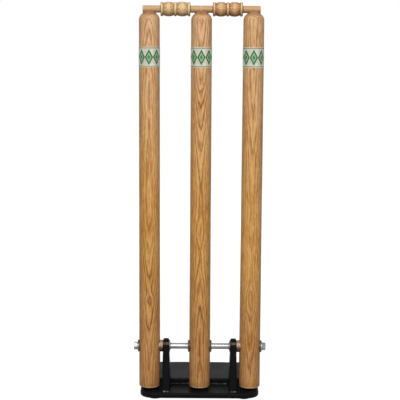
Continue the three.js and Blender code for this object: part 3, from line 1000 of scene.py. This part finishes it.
def lacquered_ash(name, rings_along, numbers, calm):
    """Stump wood. At each whole number in the list of (share of the length, rings) a growth ring reaches
    the front of the stump and makes an arch. The grain is fainter at the foot, at the head, and along
    the calm stretch, which is given as where it begins and ends and how strong its grain is."""
    material, tree, shader = new_finish(name)
    place = apart(tree, put(tree, "TexCoord").outputs["Object"])
    share = calc(tree, "DIVIDE", place["Z"], stump_length)
    curve = put(tree, "FloatCurve", {"Value": share})
    points = curve.mapping.curves[0].points
    most_rings = 10
    while len(points) < len(rings_along):
        points.new(0.5, 0.5)
    for point, (along, rings) in zip(points, rings_along):
        taper = (stump_radius(along * stump_length) - stump_head_radius) / mm / numbers["Ring Width"]
        point.location = (along, (rings - taper) / most_rings)
    curve.mapping.update()
    colours = {}
    for tone, foot_colour, waist_colour, head_colour in ash_tones:
        lower = blend(tree, spread(tree, share, 0.05, 0.35, 0, 1), foot_colour, waist_colour)
        colours[tone] = blend(tree, spread(tree, share, 0.5, 0.95, 0, 1), lower, head_colour)
    front = numbers["Pith Behind"] + stump_head_radius / mm
    rings_in_front = times(tree, curve.outputs[0], most_rings)
    soft_head = spread(tree, share, 0.84, 0.93, 1, 0.75)
    contrast = calc(tree, "MINIMUM", soft_head, spread(tree, share, 0.06, 0.2, 0.7, 1))
    calm_low, calm_high, calm_contrast = calm
    fade = 0.04
    below = spread(tree, share, calm_low - fade, calm_low + fade, 1, calm_contrast)
    above = spread(tree, share, calm_high - fade, calm_high + fade, calm_contrast, 1)
    contrast = times(tree, contrast, calc(tree, "MAXIMUM", below, above))
    numbers = {"Rings In Front": rings_in_front, "Front Face": front, "Contrast": contrast, **numbers}
    grained(tree, shader, colours, numbers, stump_ends)
    return material


def head_profile():
    """Radius and height from the apex out to the straight side, in even steps."""
    dome_turn = math.acos(dome_edge_radius / dome_radius)
    dome_centre = stump_length - dome_radius
    shoulder_centre = stump_head_radius - shoulder_radius
    shoulder_turn = math.acos((dome_edge_radius - shoulder_centre) / shoulder_radius)
    dome_foot = dome_centre + dome_radius * math.sin(dome_turn)
    shoulder_foot = dome_foot - shoulder_radius * math.sin(shoulder_turn)
    points = []
    dome_steps, shoulder_steps = 60, 30
    for step in range(dome_steps + 1):
        turn = math.pi / 2 + (dome_turn - math.pi / 2) * step / dome_steps
        points.append((dome_radius * math.cos(turn), dome_centre + dome_radius * math.sin(turn)))
    for step in range(1, shoulder_steps + 1):
        turn = shoulder_turn * (1 - step / shoulder_steps)
        radius = shoulder_centre + shoulder_radius * math.cos(turn)
        points.append((radius, shoulder_foot + shoulder_radius * math.sin(turn)))
    return points


def along_profile(points, share):
    """The point at a share of the way along a profile."""
    place = share * (len(points) - 1)
    index = min(int(place), len(points) - 2)
    part = place - index
    return [points[index][k] * (1 - part) + points[index + 1][k] * part for k in (0, 1)]


def in_groove(radius, height, turn):
    """True where the bail groove takes the wood away."""
    y = abs(radius * math.sin(turn))
    above = height - (bail_z - stump_low.z)
    return y < head_groove if above > 0 else y**2 + above**2 < head_groove**2


def rim_share(points, turn):
    """How far along the head's profile the groove reaches, in one direction."""
    last = len(points) - 1
    low, high = 0, 1
    for k, (radius, height) in enumerate(points):
        if not in_groove(radius, height, turn):
            low, high = (k - 1) / last, k / last
            break
    halvings = 20
    for _ in range(halvings):
        middle = (low + high) / 2
        if in_groove(*along_profile(points, middle), turn):
            low = middle
        else:
            high = middle
    return low


def groove_height(radius, turn):
    """The height of the groove's bed at a place."""
    y = min(head_groove, abs(radius * math.sin(turn)))
    return bail_z - stump_low.z - math.sqrt(head_groove**2 - y**2)


def stump_shape():
    """The stump about its own axis: the groove in its dome, shoulder, tapered side, chamfered foot."""
    points = head_profile()
    groove_steps, head_steps, side_steps = 26, 34, 44
    crowded_at_rim = 1.3
    turns = full_circle(stump_sides)
    reaches = [rim_share(points, turn) for turn in turns]
    rings = [[about_axis(0, 0, groove_height(0, 0))]]
    for step in range(1, groove_steps + 1):
        share = math.sin(math.pi / 2 * step / groove_steps)
        ring = []
        for turn, reach in zip(turns, reaches):
            radius = along_profile(points, reach)[0] * share
            ring.append(about_axis(radius, turn, groove_height(radius, turn)))
        rings.append(ring)
    for step in range(1, head_steps + 1):
        share = (step / head_steps) ** crowded_at_rim
        ring = []
        for turn, reach in zip(turns, reaches):
            radius, height = along_profile(points, reach + (1 - reach) * share)
            ring.append(about_axis(radius, turn, height))
        rings.append(ring)
    side_top = points[-1][1]
    for step in range(1, side_steps + 1):
        height = side_top + (foot_chamfer - side_top) * step / side_steps
        rings.append([about_axis(stump_radius(height), turn, height) for turn in turns])
    for inset, height in foot_rings:
        rings.append([about_axis(stump_foot_radius - inset, turn, height) for turn in turns])
    shape = bmesh.new()
    loft(shape, rings)
    return shape


rings_in_front = {
    "left": [(0, 0.5), (0.14, 1.8), (0.18, 2.6), (0.215, 2.8), (0.243, 3.4), (0.268, 2.6), (0.29, 2.8),
             (0.362, 4), (0.42, 5), (0.5, 5.6), (0.6, 5.4), (0.7, 5), (0.8, 5.2), (0.9, 4), (0.974, 2.5)],
    "middle": [(0, 4.6), (0.1, 4.2), (0.204, 3.3), (0.275, 2.3), (0.365, 1.3), (0.418, 1.9),
               (0.484, 1.2), (0.524, 1), (0.57, 1.35), (0.62, 2), (0.678, 3), (0.738, 4), (0.787, 5),
               (0.813, 5.8), (0.876, 7), (0.974, 8.4)],
    "right": [(0, 1), (0.08, 1.5), (0.153, 2.4), (0.2, 3.4), (0.243, 4.4), (0.285, 3.4), (0.33, 3),
              (0.42, 3.3), (0.53, 3.4), (0.595, 3.8), (0.656, 4.3), (0.717, 5), (0.841, 6), (0.974, 7)],
}
grain_numbers = {
    "left": {"Pith Behind": 44.0, "Pith Aside": 0.0, "Seed": 3.7, "Ring Width": 1.9},
    "middle": {"Pith Behind": 52.0, "Pith Aside": 0.0, "Seed": 11.3, "Ring Width": 1.9},
    "right": {"Pith Behind": 48.0, "Pith Aside": 0.5, "Seed": 23.9, "Ring Width": 2.0},
}
calm_grain = {"left": (0.45, 0.66, 0.5), "middle": (0.42, 0.52, 0.8), "right": (0.26, 0.54, 0.55)}
stump_centres = {"left": -stump_pitch, "middle": 0, "right": stump_pitch}
for name, centre in stump_centres.items():
    piece = made_object(name + "_stump_turned", stump_shape())
    past_side = stump_foot_radius + drill_overrun
    bore = [(bore_radius, -past_side), (bore_radius, past_side)]
    drill = bmesh.new()
    turned(drill, bore, drill_sides, along="X", centre=(0, 0, bolt_z - stump_low.z))
    cut(piece, made_object("drill", drill))
    piece.matrix_world = Matrix.Translation((centre, bolt_y, stump_low.z))
    numbers, calm = grain_numbers[name], calm_grain[name]
    finish = lacquered_ash(name + " stump lacquered ash", rings_in_front[name], numbers, calm)
    fit(piece, name + "_stump", name + "_stump", finish)

# Printed bands. A strip of off-white film is wrapped round each stump below its head and lapped at the
# back. It is printed in two greens with a line along each edge and a row of lozenges between.
film_thickness = 0.3 * mm
film_ease = 0.08 * mm
film_sides = 160
lozenges_round = 8
lozenge_height = 29 * mm
lozenge_width = 15.6 * mm
inner_lozenge = 0.62
heart_lozenge = 0.34
line_place = 16.4 * mm
line_width = 1.1 * mm
lap_turn = math.radians(12)
lap_rise = 0.12 * mm
film_white = paint(213, 212, 193)
soiled_white = paint(190, 189, 169)
dark_green = paint(40, 88, 48)
pale_green = paint(136, 180, 130)
heart_green = paint(54, 108, 62)
line_green = paint(50, 98, 58)


def printed_film(middle_height, radius):
    """Film printed by place: millimetres round the stump and up the band."""
    material, tree, shader = new_finish("printed film")
    on_film = in_millimetres(tree)
    place = apart(tree, on_film)
    turn = calc(tree, "ARCTAN2", place["X"], times(tree, place["Y"], -1.0))
    pitch = 2 * math.pi / lozenges_round
    step = calc(tree, "WRAP", turn, pitch / 2, -pitch / 2)
    across = calc(tree, "ABSOLUTE", times(tree, step, radius / mm))
    up = calc(tree, "ABSOLUTE", calc(tree, "SUBTRACT", place["Z"], middle_height / mm))
    aside = calc(tree, "DIVIDE", across, lozenge_width / 2 / mm)
    above = calc(tree, "DIVIDE", up, lozenge_height / 2 / mm)
    bleed = calc(tree, "SUBTRACT", noise(tree, on_film, size=0.5, detail=2), 0.5)
    reach = calc(tree, "ADD", calc(tree, "ADD", aside, above), times(tree, bleed, 0.08))
    grime = noise(tree, on_film, size=9, detail=4)
    colour = blend(tree, spread(tree, grime, 0.35, 0.7, 0, 1), film_white, soiled_white)
    for size, green in ((1.0, dark_green), (inner_lozenge, pale_green), (heart_lozenge, heart_green)):
        colour = blend(tree, calc(tree, "LESS_THAN", reach, size), colour, green)
    colour = blend(tree, within(tree, up, line_place, line_width), colour, line_green)
    wire(tree, shader.inputs["Base Color"], colour)
    wire(tree, shader.inputs["Roughness"], spread(tree, grime, 0.3, 0.7, 0.32, 0.46))
    relief(tree, shader, noise(tree, on_film, size=3.5, detail=2), depth=0.03)
    return material


def film_shape(low, high, inner, outer):
    """A sleeve about its stump's axis, thicker at the back where its ends lap."""
    profile = ring_section(0, 1, low, high, film_ease, film_ease, steps=2)
    rings = []
    for turn in full_circle(film_sides):
        lapped = max(0, 1 - abs(turn - math.pi / 2) / lap_turn)
        rise = lap_rise * min(1, 2 * lapped)
        ring = []
        for share, height in profile:
            skin = inner + (outer - inner) * min(1, max(0, share))
            radius = skin + stump_radius(height) - stump_radius(low) + rise * share
            ring.append(about_axis(radius, turn, height))
        rings.append(ring)
    shape = bmesh.new()
    loft(shape, rings, closed=True)
    return shape


film_low, film_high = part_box("middle_label")
film_bottom = film_low.z - stump_low.z
film_top = film_high.z - stump_low.z
film_outer = (film_high.x - film_low.x) / 2 - lap_rise
film_inner = film_outer - film_thickness
film = printed_film((film_bottom + film_top) / 2, film_outer)
for name, centre in stump_centres.items():
    piece = made_object(name + "_label_film", film_shape(film_bottom, film_top, film_inner, film_outer))
    piece.matrix_world = Matrix.Translation((centre, bolt_y, stump_low.z))
    fit(piece, name + "_stump", name + "_label", film)

# Bails. Each is turned from one short length of ash with a barrel of two bulges between three rings,
# and a short and a long spigot that lie in the grooves. One is from pale sapwood, one from red heartwood.
# The valleys have a hard edge of wood. Painted shade darkens the valleys, the flanks of the bulges, the
# corners by the spigots and the undersides, and painted highlights pale the rings and the crests.
spigot_radius = 6.5 * mm
barrel_radius = (bail_high.z - bail_low.z) / 2
ring_radius = barrel_radius - 0.35 * mm
valley_radius = barrel_radius - 2.2 * mm
end_ring = 4 * mm
middle_ring = 3.4 * mm
valley = 2.2 * mm
bail_clearance = 1.5 * mm
barrel_start = stump_head_radius + bail_clearance
barrel_end = stump_pitch - stump_head_radius - bail_clearance
barrel_middle = (barrel_start + barrel_end) / 2
short_end_ease = 0.3 * mm
long_end_ease = 0.9 * mm
spigot_root_ease = 0.6 * mm
barrel_end_ease = 1.2 * mm
end_ring_ease = 0.7 * mm
middle_ring_ease = 0.8 * mm
bulge_fullness = 0.75
bail_sides = 80


def bulge(start, end):
    """The swell of the barrel between two valleys."""
    steps = 16
    points = []
    for step in range(steps + 1):
        share = step / steps
        swell = math.sin(math.pi * share) ** bulge_fullness
        radius = valley_radius + (barrel_radius - valley_radius) * swell
        points.append(Vector((radius, start + (end - start) * share)))
    return points


def bail_shape():
    """A bail about its own axis, from its inner end outwards."""
    first = barrel_start + end_ring
    second = barrel_middle - middle_ring / 2
    third = barrel_middle + middle_ring / 2
    fourth = barrel_end - end_ring
    half_valley = valley / 2
    start = eased([
        (0, bail_low.x, 0),
        (spigot_radius, bail_low.x, short_end_ease),
        (spigot_radius, barrel_start, spigot_root_ease),
        (ring_radius, barrel_start, barrel_end_ease),
        (ring_radius, first, end_ring_ease),
        (valley_radius, first + half_valley, 0),
    ])
    inner = eased([
        (valley_radius, second - half_valley, 0),
        (ring_radius, second, middle_ring_ease),
        (ring_radius, third, middle_ring_ease),
        (valley_radius, third + half_valley, 0),
    ])
    end = eased([
        (valley_radius, fourth - half_valley, 0),
        (ring_radius, fourth, end_ring_ease),
        (ring_radius, barrel_end, barrel_end_ease),
        (spigot_radius, barrel_end, spigot_root_ease),
        (spigot_radius, bail_high.x, long_end_ease),
        (0, bail_high.x, 0),
    ])
    profile = start + bulge(first + half_valley, second - half_valley)[1:-1] + inner
    profile += bulge(third + half_valley, fourth - half_valley)[1:-1] + end
    shape = bmesh.new()
    turned(shape, profile, bail_sides)
    return shape


# Where the tints, painted highlights and painted shade lie on a bail: by distance from its axis, then along
# it.
spigot_tint_from = spigot_radius + 0.4 * mm
spigot_tint_to = spigot_radius + 1.2 * mm
ring_highlight_from = valley_radius + 0.6 * mm
crest_highlight_from = barrel_radius - 0.3 * mm
crest_highlight_to = barrel_radius - 0.05 * mm
valley_shade_from = valley_radius + 0.1 * mm
valley_shade_to = barrel_radius - 0.4 * mm
half_barrel = (barrel_end - barrel_start) / 2
end_ring_highlight_place = half_barrel - end_ring / 2 - 0.3 * mm
end_ring_highlight_width = end_ring - 1.2 * mm
middle_ring_highlight_width = middle_ring - 0.4 * mm
valley_shade_end = half_barrel - 1 * mm
corner_shade_from = 0.8 * mm
corner_shade_to = 1.6 * mm


def turned_details(pale_and_highlight_tone, dark_and_shade_tone, spigot_tone):
    """Tints a bail by place: mottles, spigots of their own tone, painted highlights on the rings and
    the crests, and painted shade in the valleys, on the flanks, in the corners and underneath.
    """
    def painted(tree, colour):
        place = apart(tree, in_millimetres(tree))
        out = put(tree, "CombineXYZ", {"X": place["X"], "Y": place["Y"]}).outputs[0]
        radius = put(tree, "VectorMath", {0: out}, operation="LENGTH").outputs["Value"]
        from_middle = calc(tree, "ABSOLUTE", calc(tree, "SUBTRACT", place["Z"], barrel_middle / mm))

        blotch = noise(tree, in_millimetres(tree), size=2.6, detail=2)
        colour = blend(tree, spread(tree, blotch, 0.46, 0.64, 0, 0.38), colour, dark_and_shade_tone)
        colour = blend(tree, spread(tree, blotch, 0.3, 0.46, 0.5, 0), colour, pale_and_highlight_tone)
        spigot = shade_over(tree, radius, spigot_tint_from, spigot_tint_to, 0.75, 0)
        colour = blend(tree, spigot, colour, spigot_tone)

        # Painted highlight on the rings, strongest towards their outer radius, and on the crests of the
        # bulges.
        on_end = within(tree, from_middle, end_ring_highlight_place, end_ring_highlight_width)
        on_middle = calc(tree, "LESS_THAN", from_middle, middle_ring_highlight_width / 2 / mm)
        mottle = noise(tree, in_millimetres(tree, per_z=0.6), size=3, detail=3)
        rings = times(tree, calc(tree, "ADD", on_end, on_middle), spread(tree, mottle, 0.3, 0.7, 0.5, 0.9))
        rings = times(tree, rings, shade_over(tree, radius, ring_highlight_from, ring_radius, 0, 1))
        colour = blend(tree, rings, colour, pale_and_highlight_tone)
        crest_highlight_share = shade_over(tree, radius, crest_highlight_from, crest_highlight_to, 0, 0.4)
        colour = blend(tree, crest_highlight_share, colour, pale_and_highlight_tone)

        # Painted shade underneath, in the valleys, on the flanks of the bulges and in the corners by the
        # spigots.
        underside_shade = spread(tree, facing(tree)["X"], -0.4, 0.9, 0, 0.6)
        colour = blend(tree, underside_shade, colour, dark_and_shade_tone)
        in_barrel = calc(tree, "LESS_THAN", from_middle, valley_shade_end / mm)
        low = shade_over(tree, radius, valley_shade_from, valley_shade_to, 0.48, 0)
        colour = blend(tree, times(tree, low, in_barrel), colour, dark_and_shade_tone)
        from_corner = calc(tree, "ABSOLUTE", calc(tree, "SUBTRACT", from_middle, half_barrel / mm))
        corner = shade_over(tree, from_corner, corner_shade_from, corner_shade_to, 0.6, 0)
        return blend(tree, corner, colour, dark_and_shade_tone)

    return painted


def bail_wood(name, tones, numbers, details):
    """Bail wood, from its grain and the tones of its rings, valleys and spigots."""
    material, tree, shader = new_finish(name)
    front = numbers["Pith Behind"] + barrel_radius / mm
    grained(tree, shader, tones, {"Front Face": front, **numbers}, turned_details(*details))
    return material


# The last three tones of each bail: its pale mottles and painted highlights, its dark mottles and painted
# shade, and its spigots.
pale_wood = bail_wood(
    "pale bail ash",
    {"Pale": paint(244, 212, 160), "Tan": paint(214, 175, 124), "Dark": paint(156, 113, 70)},
    {"Pith Behind": 12.0, "Pith Aside": -34.0, "Ring Width": 1.7, "Contrast": 0.7, "Seed": 41.0},
    (paint(246, 220, 176), paint(126, 86, 48), paint(204, 166, 122)),
)
red_wood = bail_wood(
    "red bail ash",
    {"Pale": paint(238, 190, 142), "Tan": paint(200, 147, 98), "Dark": paint(128, 76, 40)},
    {
        "Pith Behind": 10.0, "Pith Aside": 38.0, "Ring Width": 1.8, "Waviness": 1.4, "Contrast": 0.9,
        "Seed": 57.0,
    },
    (paint(240, 206, 160), paint(104, 60, 28), paint(204, 166, 122)),
)
lie_along_x = Matrix.Rotation(math.radians(90), 4, "Y")
for side, turn, slot, finish in (
    ("left", math.pi, "pale_bail_wood", pale_wood),
    ("right", 0, "red_bail_wood", red_wood),
):
    piece = made_object(side + "_bail_turned", bail_shape())
    middle = Matrix.Translation((0, bolt_y, bail_z))
    piece.matrix_world = middle @ Matrix.Rotation(turn, 4, "Z") @ lie_along_x
    fit(piece, side + "_bail", side + "_bail", finish)

# Floor, backdrop and studio light. A wide matt white floor runs out to a white surround, a large soft
# lamp stands above the camera, a weak one fills from the right and another lights the back.
floor_radius = 12
floor_sides = 96
floor_board = 0.01
floor_grey = 0.25
glow_from = 0.3
glow_to = 1.6
near_glow = 0.93
far_glow = 1.0
surround_fill = 0.08
scene = bpy.context.scene


def seen_directly(tree):
    """1 for rays from the camera and for mirror and glass rays, so that they all see white."""
    path = put(tree, "LightPath").outputs
    either = calc(tree, "MAXIMUM", path["Is Camera Ray"], path["Is Glossy Ray"])
    return calc(tree, "MAXIMUM", either, path["Is Transmission Ray"])


def white_floor():
    """A matt floor that takes a shadow near the piece and runs out to plain white further off."""
    material, tree, shader = new_finish("white floor")
    tree.nodes.remove(shader)
    matt = put(tree, "BsdfDiffuse", {"Color": (floor_grey, floor_grey, floor_grey, 1)})
    place = put(tree, "TexCoord").outputs["Object"]
    away = put(tree, "VectorMath", {0: place}, operation="LENGTH").outputs["Value"]
    glow = spread(tree, away, glow_from, glow_to, near_glow, far_glow)
    lift = put(tree, "Emission", {"Strength": times(tree, seen_directly(tree), glow)})
    both = put(tree, "AddShader", {0: matt.outputs[0], 1: lift.outputs[0]})
    wire(tree, tree.nodes["Material Output"].inputs["Surface"], both.outputs[0])
    return material


shape = bmesh.new()
board = [(0, -floor_board), (floor_radius, -floor_board), (floor_radius, 0), (0, 0)]
turned(shape, board, floor_sides)
floor = made_object("floor", shape)
floor.data.materials.append(white_floor())

world = bpy.data.worlds.new("white surround")
world.use_nodes = True
tree = world.node_tree
background = tree.nodes["Background"]
background.inputs["Color"].default_value = (1, 1, 1, 1)
wire(tree, background.inputs["Strength"], spread(tree, seen_directly(tree), 0, 1, surround_fill, 1))
scene.world = world


def soft_lamp(name, place, aim, width, height, power):
    """A soft rectangle of light, turned to face what it aims at."""
    light = bpy.data.lights.new(name, "AREA")
    light.shape = "RECTANGLE"
    light.size = width
    light.size_y = height
    light.energy = power
    lamp = bpy.data.objects.new(name, light)
    lamp.location = place
    lamp.rotation_euler = (Vector(aim) - Vector(place)).to_track_quat("-Z", "Y").to_euler()
    scene.collection.objects.link(lamp)
    return lamp


soft_lamp("key lamp", place=(-0.15, -2.6, 2.05), aim=(0, 0, 0.42), width=1.1, height=1.0, power=81)
soft_lamp("fill lamp", place=(1.3, -2.3, 0.9), aim=(0, 0, 0.35), width=0.9, height=1.2, power=4)
rear_lamp = soft_lamp("rear lamp", place=(0, 2.4, 0.9), aim=(0, 0, 0.35), width=0.8, height=0.9, power=18)
rear_lamp.visible_camera = False
rear_lamp.visible_glossy = False

# Camera. A long lens about two metres in front, at the height of the upper part of the stumps, looking
# slightly down.
lens = 100
camera_place = (0.2 * mm, -2100 * mm, 693.3 * mm)
camera_pitch = math.radians(8.785)
camera_turn = math.radians(0.034)
camera_roll = math.radians(0.334)
camera_data = bpy.data.cameras.new("camera")
camera_data.lens = lens
camera = bpy.data.objects.new("camera", camera_data)
aim = Matrix.Rotation(camera_turn, 4, "Z") @ Matrix.Rotation(math.pi / 2 - camera_pitch, 4, "X")
camera.matrix_world = Matrix.Translation(camera_place) @ aim @ Matrix.Rotation(camera_roll, 4, "Z")
scene.collection.objects.link(camera)
scene.camera = camera
scene.view_settings.view_transform = "Standard"
